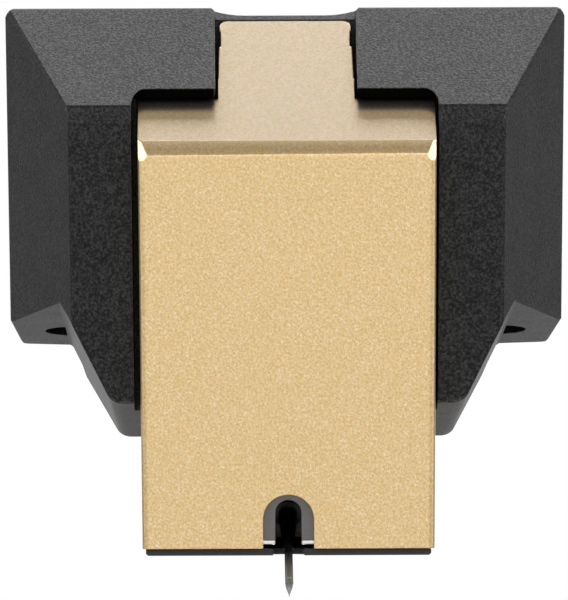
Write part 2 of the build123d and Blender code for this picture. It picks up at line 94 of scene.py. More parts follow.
# Nose block, in millimetres: the shoulder's round, the facets that cut its two corners off, and
# the heights between which blasted metal turns into the lapped slope
SHOULDER_ROUND = 0.07
CORNER_SIDE = 4.22
CORNER_SETBACK = 0.06
CORNER_LIFT = 0.04
CORNER_FACING = (0.5, -0.8, 0.33)
BLASTED_TOP = -4.12
LAPPED_FOOT = -4.04

# Generator, in millimetres: bright pole edges, coils from their root on an arm, with a wire's round
# as a share of its diameter, and the damper, with its edges as (inset, depth) from its ends
POLE_EDGE_SIZE = (1.2, 0.12, 0.12)
POLE_EDGE_ROUND = 0.02
POLE_EDGE_LEFT = (-1.0, -7.36, -15.995)
POLE_EDGE_RIGHT = (1.0, -7.36, -15.995)
COIL_SECTION = (0.66, 0.74)
COIL_CORNER = 0.12
COIL_LENGTH = 0.48
WIRE_ROUND = 0.4
COIL_ROOT = (0.56, 0, 0.05)
COIL_LEANS = {"left": -135, "right": -45}
DAMPER_BORE = 0.11
DAMPER_RADIUS = 0.5
DAMPER_FRONT = 0.25
DAMPER_BACK = 0.86
DAMPER_FRONT_EDGE = ((0.07, 0), (0.02, 0.03), (0, 0.11))
DAMPER_BACK_EDGE = ((0, 0.12), (0.02, 0.04), (0.07, 0))

# Turned profiles, as (radius, place) rings in millimetres. The collar and the rod run along the
# cantilever's line, and the diamond's head rises from its point.
COLLAR_SOCKET = ((0.121, -0.65), (0.121, -2.34))
COLLAR_TIP = ((0.145, -2.35), (0.16, -2.32))
COLLAR_ROOT = ((0.274, -0.22), (0.276, -0.18), (0.268, -0.155), (0.25, -0.15))
ROD_PROFILE = ((0.12, -0.66), (0.12, -4.76), (0.1, -4.795), (0.07, -4.82))
# Between these heights the rod's colour pales from black to grey: painted light at its free end
ROD_DARK_ABOVE = -16.3
ROD_PAINTED_LIGHT_BELOW = -17.25
DIAMOND_SHANK = 0.055
DIAMOND_CHAMFER = 0.005
DIAMOND_HEAD = ((0.1, 0.35), (0.112, 0.32), (0.1, 0.27), (0.03, 0.1), (0.014, 0.05), (0.006, 0))
DIAMOND_COLLAR = 0.36

# Terminals and thread bushes, in millimetres. A pin's rounded end is (radius, place before its tip).
PIN_STEM = 0.35
PIN_RADIUS = 0.6
PIN_CHAMFER = 0.04
PIN_END = ((0.6, 0.32), (0.585, 0.2), (0.53, 0.09), (0.44, 0.025), (0.32, 0))
RING_BORE = 0.62
THREAD_BORE = 1.08
THREAD_FLAT = 0.02
BUSH_CHAMFER = 0.05

# Stage, in metres and degrees. A softbox has its azimuth, elevation and distance about the aim, its
# width and height, and the radiance of its face.
AIM = Vector((-0.00006, -0.002, -0.0088))
FLOOR_RADIUS = 1.09
FLOOR_DROP = 0.85
FLOOR_THICKNESS = 0.02
FLOOR_EDGE = 0.004
SOFTBOXES = {
    "front_scrim": ((0, 14, 1.15), (2.2, 1.4), 0.59),
    "top_strip": ((0, 46, 1.1), (1.2, 0.12), 2.9),
    "left_spot": ((-71, 32, 1.0), (0.34, 0.34), 6.0),
    "right_spot": ((71, 32, 1.0), (0.34, 0.34), 6.0),
    "left_panel": ((-84, 4, 1.0), (0.7, 0.9), 0.42),
    "right_panel": ((84, 4, 1.0), (0.7, 0.9), 0.54),
    "rim_strip": ((180, 48, 1.0), (1.2, 0.22), 7.2),
    "crown_scrim": ((180, 72, 1.0), (1.2, 0.4), 0.1),
    "back_scrim": ((180, 4, 1.0), (1.3, 0.8), 0.9),
}
CAMERA_BEARING = (-0.5, 0, 0.35)
CAMERA_ROLL = math.radians(-0.21)
CAMERA_LENS = 697
CAMERA_SENSOR = 36
CAMERA_NEAR = 0.01


def linear(code):
    """Linear colour of an sRGB hex code."""
    parts = [int(code[i : i + 2], 16) / 255 for i in (1, 3, 5)]
    return tuple(p / 12.92 if p <= 0.04045 else ((p + 0.055) / 1.055) ** 2.4 for p in parts)


class CartridgeSizes(PropertyGroup):
    """Sizes that the looks add to the CAD frame."""

    housing_round: FloatProperty(
        name="Housing Round",
        description="Round on the moulded housing's window, holes and tail opening",
        default=0.00003,
        unit="LENGTH",
        precision=6,
    )
    nose_round: FloatProperty(
        name="Nose Round",
        description="Round that blasting leaves on the gold block's edges",
        default=0.00003,
        unit="LENGTH",
        precision=6,
    )
    cover_round: FloatProperty(
        name="Cover Round",
        description="Round on the under cover and the terminal block",
        default=0.00004,
        unit="LENGTH",
        precision=6,
    )
    coil_wire: FloatProperty(
        name="Coil Wire",
        description="Diameter of the enamelled coil wire, thicker than the real one so that turns show",
        default=0.00004,
        unit="LENGTH",
        precision=6,
    )
    thread_pitch: FloatProperty(
        name="Thread Pitch",
        description="Pitch of the thread in the mounting inserts",
        default=0.00045,
        unit="LENGTH",
        precision=6,
    )
    thread_depth: FloatProperty(
        name="Thread Depth",
        description="Depth of that thread, cut outward from the CAD bore",
        default=0.00022,
        unit="LENGTH",
        precision=6,
    )
    ring_width: FloatProperty(
        name="Ring Width",
        description="Width of the coloured channel ring round each terminal pin",
        default=0.0003,
        unit="LENGTH",
        precision=6,
    )
    ring_height: FloatProperty(
        name="Ring Height",
        description="How far a channel ring stands out of the terminal block",
        default=0.00012,
        unit="LENGTH",
        precision=6,
    )
    segments: IntProperty(
        name="Segments",
        description="Sides of the turned pieces",
        default=48,
        min=12,
        max=128,
    )


class CartridgeColours(PropertyGroup):
    """Colours of the finishes."""

    gold: FloatVectorProperty(
        name="Gold",
        description="Champagne gold of the anodised nose block",
        subtype="COLOR",
        default=linear("#F2C980"),
        min=0,
        max=1,
    )
    resin: FloatVectorProperty(
        name="Resin",
        description="Black of the moulded housing",
        subtype="COLOR",
        default=linear("#0C0C0C"),
        min=0,
        max=1,
    )
    rubber: FloatVectorProperty(
        name="Rubber",
        description="Black of the under cover and the damper",
        subtype="COLOR",
        default=linear("#282829"),
        min=0,
        max=1,
    )
    brass: FloatVectorProperty(
        name="Brass",
        description="Brass of the thread inserts and the wire sleeve",
        subtype="COLOR",
        default=linear("#E0BC72"),
        min=0,
        max=1,
    )
    copper: FloatVectorProperty(
        name="Copper",
        description="Enamelled copper of the coils",
        subtype="COLOR",
        default=linear("#B8643A"),
        min=0,
        max=1,
    )
    left_signal: FloatVectorProperty(
        name="Left Signal",
        description="Ring and lead of the left signal pin",
        subtype="COLOR",
        default=linear("#E4E4DE"),
        min=0,
        max=1,
    )
    left_ground: FloatVectorProperty(
        name="Left Ground",
        description="Ring and lead of the left ground pin",
        subtype="COLOR",
        default=linear("#2450A0"),
        min=0,
        max=1,
    )
    right_ground: FloatVectorProperty(
        name="Right Ground",
        description="Ring and lead of the right ground pin",
        subtype="COLOR",
        default=linear("#2A7A44"),
        min=0,
        max=1,
    )
    right_signal: FloatVectorProperty(
        name="Right Signal",
        description="Ring and lead of the right signal pin",
        subtype="COLOR",
        default=linear("#B4282A"),
        min=0,
        max=1,
    )


def sizes_mm():
    """The size settings as millimetres by name."""
    sizes = bpy.context.scene.cartridge_sizes
    lengths = [p.identifier for p in sizes.bl_rna.properties if p.type == "FLOAT"]
    return {name: getattr(sizes, name) * PER_METRE for name in lengths}


def box_mm(node):
    """A CAD node's lowest and highest corners in millimetres."""
    low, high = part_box(node)
    return low * PER_METRE, high * PER_METRE


def make_active(piece):
    """Selects one piece alone, because an operator acts on all that is selected."""
    bpy.ops.object.select_all(action="DESELECT")
    piece.select_set(True)
    bpy.context.view_layer.objects.active = piece


def apply_modifier(piece, kind, **settings):
    """Adds a modifier with its settings and applies it."""
    make_active(piece)
    modifier = piece.modifiers.new(kind.lower(), kind)
    for key, value in settings.items():
        setattr(modifier, key, value)
    bpy.ops.object.modifier_apply(modifier=modifier.name)


def welded_copy(node, name):
    """A copy of a CAD node in millimetres, its loose triangles merged into whole faces."""
    mesh = frame["nodes"][node].data.copy()
    mesh.name = name
    mesh.materials.clear()
    mesh.transform(TO_MM)
    piece = bpy.data.objects.new(name, mesh)
    bpy.context.scene.collection.objects.link(piece)
    make_active(piece)
    bpy.ops.object.mode_set(mode="EDIT")
    bpy.ops.mesh.select_all(action="SELECT")
    bpy.ops.mesh.customdata_custom_splitnormals_clear()
    bpy.ops.mesh.remove_doubles(threshold=WELD)
    bpy.ops.mesh.dissolve_limited(angle_limit=FLAT_ANGLE)
    bpy.ops.object.mode_set(mode="OBJECT")
    return piece


def soften(piece, width, sharpest, smooth):
    """Rounds the edges that are sharper than an angle, and shades the rest as flats and rounds."""
    if width:
        apply_modifier(
            piece,
            "BEVEL",
            width=width,
            segments=2,
            limit_method="ANGLE",
            angle_limit=math.radians(sharpest),
            use_clamp_overlap=False,
        )
    make_active(piece)
    bpy.ops.object.shade_smooth_by_angle(angle=math.radians(smooth))
    apply_modifier(piece, "WEIGHTED_NORMAL", weight=100, keep_sharp=True)


def round_edges(piece, wanted, width):
    """Rounds the edges whose two ends both pass a test on their place in millimetres."""
    make_active(piece)
    bpy.ops.object.mode_set(mode="EDIT")
    bpy.ops.mesh.select_mode(type="EDGE")
    bpy.ops.mesh.select_all(action="DESELECT")
    bpy.ops.object.mode_set(mode="OBJECT")
    corners = piece.data.vertices
    for edge in piece.data.edges:
        edge.select = all(wanted(corners[end].co) for end in edge.vertices)
    bpy.ops.object.mode_set(mode="EDIT")
    bpy.ops.mesh.bevel(offset=width, segments=5)
    bpy.ops.object.mode_set(mode="OBJECT")


def rounded_bar(name, size, corner):
    """A bar about the origin with rounded edges."""
    bpy.ops.object.select_all(action="DESELECT")
    bpy.ops.mesh.primitive_cube_add(size=1, location=(0, 0, 0))
    bar = bpy.context.active_object
    bar.name = name
    bar.data.name = name
    bpy.ops.object.mode_set(mode="EDIT")
    bpy.ops.mesh.select_all(action="SELECT")
    bpy.ops.transform.resize(value=size, center_override=(0, 0, 0))
    bpy.ops.mesh.select_mode(type="EDGE")
    bpy.ops.mesh.select_all(action="SELECT")
    bpy.ops.mesh.bevel(offset=corner, segments=3)
    bpy.ops.object.mode_set(mode="OBJECT")
    bpy.ops.object.shade_smooth_by_angle(angle=math.radians(40))
    return bar


def cut_corner(piece, point, outward):
    """Cuts a corner off along a plane and closes the cut."""
    make_active(piece)
    bpy.ops.object.mode_set(mode="EDIT")
    bpy.ops.mesh.select_all(action="SELECT")
    bpy.ops.mesh.bisect(plane_co=point, plane_no=outward, use_fill=True, clear_outer=True)
    bpy.ops.object.mode_set(mode="OBJECT")


def turned(name, rings, segments, smooth, hollow=False):
    """A turned piece: a circle carried along Z through (radius, height) rings, then closed, and
    smooth where its faces meet at less than an angle in degrees."""
    bpy.ops.object.select_all(action="DESELECT")
    radius, height = rings[0]
    bpy.ops.mesh.primitive_circle_add(vertices=segments, radius=radius, location=(0, 0, 0))
    piece = bpy.context.active_object
    piece.name = name
    piece.data.name = name
    piece.data.transform(Matrix.Translation((0, 0, height)))
    bpy.ops.object.mode_set(mode="EDIT")
    bpy.ops.mesh.select_mode(type="EDGE")
    bpy.ops.mesh.select_all(action="SELECT")
    if not hollow:
        bpy.ops.mesh.edge_face_add()
    for next_radius, next_height in rings[1:]:
        rise = (0, 0, next_height - height)
        grow = next_radius / radius
        bpy.ops.mesh.extrude_region_move(TRANSFORM_OT_translate={"value": rise})
        bpy.ops.transform.resize(value=(grow, grow, 1), center_override=(0, 0, next_height))
        radius, height = next_radius, next_height
    if hollow:
        bpy.ops.mesh.select_all(action="DESELECT")
        bpy.ops.mesh.select_non_manifold()
        bpy.ops.mesh.bridge_edge_loops()
    bpy.ops.mesh.select_all(action="SELECT")
    bpy.ops.mesh.normals_make_consistent(inside=False)
    bpy.ops.object.mode_set(mode="OBJECT")
    bpy.ops.object.shade_smooth_by_angle(angle=math.radians(smooth))
    return piece


def copied(piece, name):
    """Another of a modelled piece, with its own mesh."""
    twin = piece.copy()
    twin.data = piece.data.copy()
    twin.name = name
    twin.data.name = name
    bpy.context.scene.collection.objects.link(twin)
    return twin


def hand_over(piece, body, slot, material, *nodes):
    """Scales a finished piece to metres, gives it its finish, and sets it on its CAD body."""
    piece.data.transform(TO_METRES)
    piece.data.materials.clear()
    piece.data.materials.append(material)
    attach(piece, body)
    if nodes:
        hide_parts(*nodes)


def paint_node(node, material):
    """Gives a CAD node that stays in view its finish."""
    carried = frame["nodes"][node]
    if not carried.material_slots:
        carried.data.materials.append(material)
    carried.material_slots[0].material = material


def line_frame():
    """Frame of the cantilever's line: Z runs back along it from the pivot, and X to the right."""
    right = Vector((1, 0, 0))
    turn = Matrix((right, LINE.cross(right), LINE)).transposed().to_4x4()
    return Matrix.Translation(PIVOT) @ turn


def pattern_scale(size):
    """Texture scale on Object coordinates for a pattern of a size in millimetres."""
    return PER_METRE / size


def metres(length):
    """A bump's relief, or a height on Object coordinates, from millimetres."""
    return length / PER_METRE


def new_finish(name):
    """A named material with an empty node tree, and its Object coordinates."""
    material = bpy.data.materials.new(name)
    material.use_nodes = True
    tree = material.node_tree
    tree.nodes.clear()
    place = add_node(tree, "ShaderNodeTexCoord").outputs["Object"]
    return material, tree, place


def add_node(tree, kind, sockets=None, **settings):
    """Adds a node with its settings, and fills its sockets with values or links."""
    node = tree.nodes.new(kind)
    for key, value in settings.items():
        setattr(node, key, value)
    for socket, value in (sockets or {}).items():
        if isinstance(value, bpy.types.NodeSocket):
            tree.links.new(value, node.inputs[socket])
        else:
            node.inputs[socket].default_value = value
    return node


def opaque(colour):
    """A colour with full alpha, as colour sockets take it."""
    return (*colour, 1)


def shade_of(colour, *factors):
    """A colour made lighter or darker, by one factor or by one for each channel."""
    parts = factors if len(factors) == len(colour) else factors * len(colour)
    return opaque([min(1, channel * part) for channel, part in zip(colour, parts)])


def blasted_gold_anodise(colours):
    """Aluminium, bead-blasted and anodised gold: a soft metallic sheen broken up by fine grains, with glints
    painted into the colour as a few pale cells, under a clear oxide film that adds a paler reflection. The
    slope above the shoulder was lapped first, so it is smoother, and there the grains show only in the film
    and no glints are painted."""
    material, tree, place = new_finish("blasted_gold_anodised_aluminium")
    grain = add_node(
        tree,
        "ShaderNodeTexNoise",
        {"Vector": place, "Scale": pattern_scale(0.07), "Detail": 2.0, "Roughness": 0.6},
    )
    facets = add_node(tree, "ShaderNodeTexVoronoi", {"Vector": place, "Scale": pattern_scale(0.06)})
    tone = add_node(
        tree,
        "ShaderNodeMapRange",
        {"Value": grain.outputs["Fac"], "From Min": 0.3, "From Max": 0.7},
    )
    colour = add_node(
        tree,
        "ShaderNodeMix",
        {
            "Factor": tone.outputs["Result"],
            "A": shade_of(colours.gold, 0.8, 0.77, 0.4),
            "B": shade_of(colours.gold, 1.08, 1.15, 1.5),
        },
        data_type="RGBA",
    )
    # Painted glints: a few facet cells' colour is mixed towards pale white-gold
    painted_glint = add_node(
        tree,
        "ShaderNodeMapRange",
        {"Value": facets.outputs["Color"], "From Min": 0.7, "From Max": 0.9, "To Max": 0.5},
    )
    grains_with_painted_glints = add_node(
        tree,
        "ShaderNodeMix",
        {
            "Factor": painted_glint.outputs["Result"],
            "A": colour.outputs["Result"],
            "B": opaque(linear("#FFF4D8")),
        },
        data_type="RGBA",
    )
    sheen = add_node(
        tree,
        "ShaderNodeMapRange",
        {"Value": facets.outputs["Color"], "To Min": 0.46, "To Max": 0.34},
    )
    height = add_node(tree, "ShaderNodeSeparateXYZ", {"Vector": place})
    lapped = add_node(
        tree,
        "ShaderNodeMapRange",
        {
            "Value": height.outputs["Z"],
            "From Min": metres(BLASTED_TOP),
            "From Max": metres(LAPPED_FOOT),
        },
    )
    shown = add_node(
        tree,
        "ShaderNodeMix",
        {
            "Factor": lapped.outputs["Result"],
            "A": grains_with_painted_glints.outputs["Result"],
            "B": opaque(colours.gold),
        },
        data_type="RGBA",
    )
    gloss = add_node(
        tree,
        "ShaderNodeMix",
        {"Factor": lapped.outputs["Result"], "A": sheen.outputs["Result"], "B": 0.2},
    )
    depth = add_node(
        tree,
        "ShaderNodeMapRange",
        {"Value": lapped.outputs["Result"], "To Min": 1.0, "To Max": 0.15},
    )
    grit = add_node(
        tree,
        "ShaderNodeMapRange",
        {"Value": facets.outputs["Color"], "To Min": 2.3, "To Max": 3.1},
    )
    film = add_node(
        tree,
        "ShaderNodeMix",
        {"Factor": lapped.outputs["Result"], "A": 2.2, "B": grit.outputs["Result"]},
    )
    bump = add_node(
        tree,
        "ShaderNodeBump",
        {
            "Height": grain.outputs["Fac"],
            "Distance": metres(0.015),
            "Strength": depth.outputs["Result"],
        },
    )
    surface = add_node(
        tree,
        "ShaderNodeBsdfPrincipled",
        {
            "Base Color": shown.outputs["Result"],
            "Metallic": 1.0,
            "Roughness": gloss.outputs["Result"],
            "Normal": bump.outputs["Normal"],
            "Coat Weight": 1.0,
            "Coat Roughness": 0.36,
            "Coat IOR": film.outputs["Result"],
        },
    )
    add_node(tree, "ShaderNodeOutputMaterial", {"Surface": surface.outputs["BSDF"]})
    return material


def spark_textured_polymer(colours):
    """Black glass-filled polymer from a spark-eroded mould: a dull, even grain of tiny pits."""
    material, tree, place = new_finish("spark_textured_black_polymer")
    pits = add_node(
        tree,
        "ShaderNodeTexNoise",
        {"Vector": place, "Scale": pattern_scale(0.07), "Detail": 3.0, "Roughness": 0.55},
    )
    swell = add_node(
        tree,
        "ShaderNodeTexNoise",
        {"Vector": place, "Scale": pattern_scale(0.9), "Detail": 1.0},
    )
    dullness = add_node(
        tree,
        "ShaderNodeMapRange",
        {"Value": swell.outputs["Fac"], "To Min": 0.43, "To Max": 0.52},
    )
    gloss = add_node(
        tree,
        "ShaderNodeMapRange",
        {
            "Value": pits.outputs["Fac"],
            "From Min": 0.4,
            "From Max": 0.72,
            "To Min": 0.2,
            "To Max": 0.8,
        },
    )
    colour = add_node(
        tree,
        "ShaderNodeMix",
        {
            "Factor": pits.outputs["Fac"],
            "A": shade_of(colours.resin, 0.6),
            "B": shade_of(colours.resin, 1.6),
        },
        data_type="RGBA",
    )
    bump = add_node(
        tree,
        "ShaderNodeBump",
        {"Height": pits.outputs["Fac"], "Distance": metres(0.02), "Strength": 0.6},
    )
    surface = add_node(
        tree,
        "ShaderNodeBsdfPrincipled",
        {
            "Base Color": colour.outputs["Result"],
            "Roughness": dullness.outputs["Result"],
            "Specular IOR Level": gloss.outputs["Result"],
            "Normal": bump.outputs["Normal"],
        },
    )
    add_node(tree, "ShaderNodeOutputMaterial", {"Surface": surface.outputs["BSDF"]})
    return material


def soft_rubber(colours, name, grain_size):
    """Black synthetic rubber: matt, with a faint dusty grain and no sharp highlight."""
    material, tree, place = new_finish(name)
    grain = add_node(
        tree,
        "ShaderNodeTexNoise",
        {"Vector": place, "Scale": pattern_scale(grain_size), "Detail": 3.0},
    )
    dullness = add_node(
        tree,
        "ShaderNodeMapRange",
        {"Value": grain.outputs["Fac"], "To Min": 0.62, "To Max": 0.85},
    )
    bump = add_node(
        tree,
        "ShaderNodeBump",
        {"Height": grain.outputs["Fac"], "Distance": metres(0.01), "Strength": 0.5},
    )
    surface = add_node(
        tree,
        "ShaderNodeBsdfPrincipled",
        {
            "Base Color": opaque(colours.rubber),
            "Roughness": dullness.outputs["Result"],
            "Specular IOR Level": 0.5,
            "Normal": bump.outputs["Normal"],
        },
    )
    add_node(tree, "ShaderNodeOutputMaterial", {"Surface": surface.outputs["BSDF"]})
    return material


def black_felt():
    """Near-black matt strips with a faint fibrous nap that give back almost no light: painted shade set in
    shadowed gaps.
    """
    material, tree, place = new_finish("black_felt")
    nap = add_node(
        tree,
        "ShaderNodeTexNoise",
        {"Vector": place, "Scale": pattern_scale(0.05), "Detail": 3.0},
    )
    tone = add_node(
        tree,
        "ShaderNodeMix",
        {
            "Factor": nap.outputs["Fac"],
            "A": opaque(linear("#020202")),
            "B": opaque(linear("#0A0A08")),
        },
        data_type="RGBA",
    )
    bump = add_node(
        tree,
        "ShaderNodeBump",
        {"Height": nap.outputs["Fac"], "Distance": metres(0.02), "Strength": 0.6},
    )
    surface = add_node(
        tree,
        "ShaderNodeBsdfPrincipled",
        {
            "Base Color": tone.outputs["Result"],
            "Roughness": 1.0,
            "Specular IOR Level": 0.0,
            "Normal": bump.outputs["Normal"],
        },
    )
    add_node(tree, "ShaderNodeOutputMaterial", {"Surface": surface.outputs["BSDF"]})
    return material


def worked_metal(name, colour, lay, roughness):
    """Bare or plated metal with the fine lay that grinding, turning or drawing leaves: streaks that
    run along the axis whose pattern size is largest, in lighter and darker lines of gloss. Real
    lines are finer, and are drawn as wide as they need to be to show."""
    material, tree, place = new_finish(name)
    stretched = add_node(
        tree,
        "ShaderNodeMapping",
        {"Vector": place, "Scale": [pattern_scale(size) for size in lay]},
    )
    streaks = add_node(
        tree,
        "ShaderNodeTexNoise",
        {"Vector": stretched.outputs["Vector"], "Scale": 1.0, "Detail": 2.0},
    )
    tone = add_node(
        tree,
        "ShaderNodeMix",
        {
            "Factor": streaks.outputs["Fac"],
            "A": shade_of(colour, 0.85),
            "B": shade_of(colour, 1.1),
        },
        data_type="RGBA",
    )
    gloss = add_node(
        tree,
        "ShaderNodeMapRange",
        {"Value": streaks.outputs["Fac"], "To Min": roughness * 0.7, "To Max": roughness * 1.3},
    )
    bump = add_node(
        tree,
        "ShaderNodeBump",
        {"Height": streaks.outputs["Fac"], "Distance": metres(0.004), "Strength": 0.4},
    )
    surface = add_node(
        tree,
        "ShaderNodeBsdfPrincipled",
        {
            "Base Color": tone.outputs["Result"],
            "Metallic": 1.0,
            "Roughness": gloss.outputs["Result"],
            "Normal": bump.outputs["Normal"],
        },
    )
    add_node(tree, "ShaderNodeOutputMaterial", {"Surface": surface.outputs["BSDF"]})
    return material


def coloured_polymer(name, colour):
    """Moulded or extruded polymer: an even colour, slightly clouded, with a satin skin."""
    material, tree, place = new_finish(name)
    cloud = add_node(
        tree,
        "ShaderNodeTexNoise",
        {"Vector": place, "Scale": pattern_scale(0.2), "Detail": 3.0},
    )
    tone = add_node(
        tree,
        "ShaderNodeMix",
        {"Factor": cloud.outputs["Fac"], "A": shade_of(colour, 0.8), "B": shade_of(colour, 1.15)},
        data_type="RGBA",
    )
    skin = add_node(
        tree,
        "ShaderNodeMapRange",
        {"Value": cloud.outputs["Fac"], "To Min": 0.35, "To Max": 0.55},
    )
    bump = add_node(
        tree,
        "ShaderNodeBump",
        {"Height": cloud.outputs["Fac"], "Distance": metres(0.008), "Strength": 0.3},
    )
    surface = add_node(
        tree,
        "ShaderNodeBsdfPrincipled",
        {
            "Base Color": tone.outputs["Result"],
            "Roughness": skin.outputs["Result"],
            "Normal": bump.outputs["Normal"],
        },
    )
    add_node(tree, "ShaderNodeOutputMaterial", {"Surface": surface.outputs["BSDF"]})
    return material


def vapour_grown_boron():
    """Boron grown from vapour: a glassy rod with a faintly knobbly skin, near black at its root, and paler
    towards the free end, where light is painted into its colour."""
    material, tree, place = new_finish("vapour_grown_boron")
    knobs = add_node(
        tree,
        "ShaderNodeTexNoise",
        {"Vector": place, "Scale": pattern_scale(0.06), "Detail": 2.0},
    )
    gloss = add_node(
        tree,
        "ShaderNodeMapRange",
        {"Value": knobs.outputs["Fac"], "To Min": 0.15, "To Max": 0.3},
    )
    height = add_node(tree, "ShaderNodeSeparateXYZ", {"Vector": place})
    painted_light_end = add_node(
        tree,
        "ShaderNodeMapRange",
        {
            "Value": height.outputs["Z"],
            "From Min": metres(ROD_DARK_ABOVE),
            "From Max": metres(ROD_PAINTED_LIGHT_BELOW),
        },
    )
    tone = add_node(
        tree,
        "ShaderNodeMix",
        {
            "Factor": painted_light_end.outputs["Result"],
            "A": opaque(linear("#101010")),
            "B": opaque(linear("#6A6A6A")),
        },
        data_type="RGBA",
    )
    bump = add_node(
        tree,
        "ShaderNodeBump",
        {"Height": knobs.outputs["Fac"], "Distance": metres(0.003), "Strength": 0.3},
    )
    surface = add_node(
        tree,
        "ShaderNodeBsdfPrincipled",
        {
            "Base Color": tone.outputs["Result"],
            "Roughness": gloss.outputs["Result"],
            "Normal": bump.outputs["Normal"],
        },
    )
    add_node(tree, "ShaderNodeOutputMaterial", {"Surface": surface.outputs["BSDF"]})
    return material


def ground_diamond():
    """Ground diamond: clear, with a bright edge and grinding marks too fine to show, drawn coarser."""
    material, tree, place = new_finish("ground_diamond")
    marks = add_node(
        tree,
        "ShaderNodeTexNoise",
        {"Vector": place, "Scale": pattern_scale(0.03), "Detail": 1.0},
    )
    polish = add_node(
        tree,
        "ShaderNodeMapRange",
        {"Value": marks.outputs["Fac"], "To Min": 0.15, "To Max": 0.3},
    )
    surface = add_node(
        tree,
        "ShaderNodeBsdfPrincipled",
        {
            "Base Color": opaque(linear("#B4B4B4")),
            "Roughness": polish.outputs["Result"],
            "IOR": 2.42,
            "Transmission Weight": 0.5,
        },
    )
    add_node(tree, "ShaderNodeOutputMaterial", {"Surface": surface.outputs["BSDF"]})
    return material


def backlit_acrylic():
    """White acrylic of a light table: an even glow from within, with a faint cloudiness."""
    material, tree, place = new_finish("backlit_white_acrylic")
    cloud = add_node(
        tree,
        "ShaderNodeTexNoise",
        {"Vector": place, "Scale": pattern_scale(4.0), "Detail": 4.0},
    )
    tone = add_node(
        tree,
        "ShaderNodeMix",
        {
            "Factor": cloud.outputs["Fac"],
            "A": opaque(linear("#ECECEA")),
            "B": opaque(linear("#F2F2F0")),
        },
        data_type="RGBA",
    )
    surface = add_node(
        tree,
        "ShaderNodeBsdfPrincipled",
        {
            "Base Color": tone.outputs["Result"],
            "Roughness": 0.6,
            "Emission Color": tone.outputs["Result"],
            "Emission Strength": 0.8,
        },
    )
    add_node(tree, "ShaderNodeOutputMaterial", {"Surface": surface.outputs["BSDF"]})
    return material


class CARTRIDGE_OT_housing(Operator):
    """Housing: the moulded shell with rounded window, hole and tail edges, and black strips of painted shade
    under its lip and beside the tongue
    """

    bl_idname = "cartridge.housing"
    bl_label = "Housing"

    def execute(self, context):
        colours = context.scene.cartridge_colours
        shell = welded_copy("housing", "housing_shell")
        soften(shell, sizes_mm()["housing_round"], sharpest=62, smooth=28)
        hand_over(shell, "cartridge", "housing_resin", spark_textured_polymer(colours), "housing")

        # Near-black strips stand in for the shade under the lip and in the gaps beside the tongue
        shade_black_finish = black_felt()
        left = rounded_bar("lip_seal_left", LIP_SHADE_STRIP_SIZE, LIP_SHADE_STRIP_ROUND)
        right = copied(left, "lip_seal_right")
        for shade_strip, place in ((left, LIP_SHADE_STRIP_LEFT), (right, LIP_SHADE_STRIP_RIGHT)):
            shade_strip.data.transform(Matrix.Translation(place))
            hand_over(shade_strip, "cartridge", "soft_black", shade_black_finish)

        left = rounded_bar("tongue_seal_left", TONGUE_SHADE_STRIP_SIZE, TONGUE_SHADE_STRIP_ROUND)
        right = copied(left, "tongue_seal_right")
        up_slope = Matrix.Rotation(SLOPE_ANGLE, 4, "X")
        for shade_strip, place in ((left, TONGUE_SHADE_STRIP_LEFT), (right, TONGUE_SHADE_STRIP_RIGHT)):
            shade_strip.data.transform(Matrix.Translation(place) @ up_slope)
            hand_over(shade_strip, "cartridge", "soft_black", shade_black_finish)
        return {"FINISHED"}


class CARTRIDGE_OT_nose_block(Operator):
    """Nose block: the gold block with the soft edges that blasting leaves and two bright corners"""

    bl_idname = "cartridge.nose_block"
    bl_label = "Nose Block"

    def execute(self, context):
        colours = context.scene.cartridge_colours
        block = welded_copy("nose_block", "gold_nose_block")
        front = box_mm("nose_block")[0].y
        brink = max(v.co.z for v in block.data.vertices if v.co.y < front + WELD)
        round_edges(block, lambda at: at.y < front + WELD and at.z > brink - WELD, SHOULDER_ROUND)
        across, forward, upward = CORNER_FACING
        for side in (-1, 1):
            corner = (side * CORNER_SIDE, front + CORNER_SETBACK, brink + CORNER_LIFT)
            cut_corner(block, corner, (side * across, forward, upward))
        soften(block, sizes_mm()["nose_round"], sharpest=25, smooth=35)
        hand_over(block, "cartridge", "gold_anodise", blasted_gold_anodise(colours), "nose_block")
        return {"FINISHED"}


class CARTRIDGE_OT_under_cover(Operator):
    """Under cover: the soft plate that closes the generator bay"""

    bl_idname = "cartridge.under_cover"
    bl_label = "Under Cover"

    def execute(self, context):
        colours = context.scene.cartridge_colours
        cover = welded_copy("under_cover", "soft_under_cover")
        soften(cover, sizes_mm()["cover_round"], sharpest=60, smooth=50)
        rubber = soft_rubber(colours, "soft_black_elastomer", grain_size=0.15)
        hand_over(cover, "cartridge", "soft_black", rubber, "under_cover")
        return {"FINISHED"}


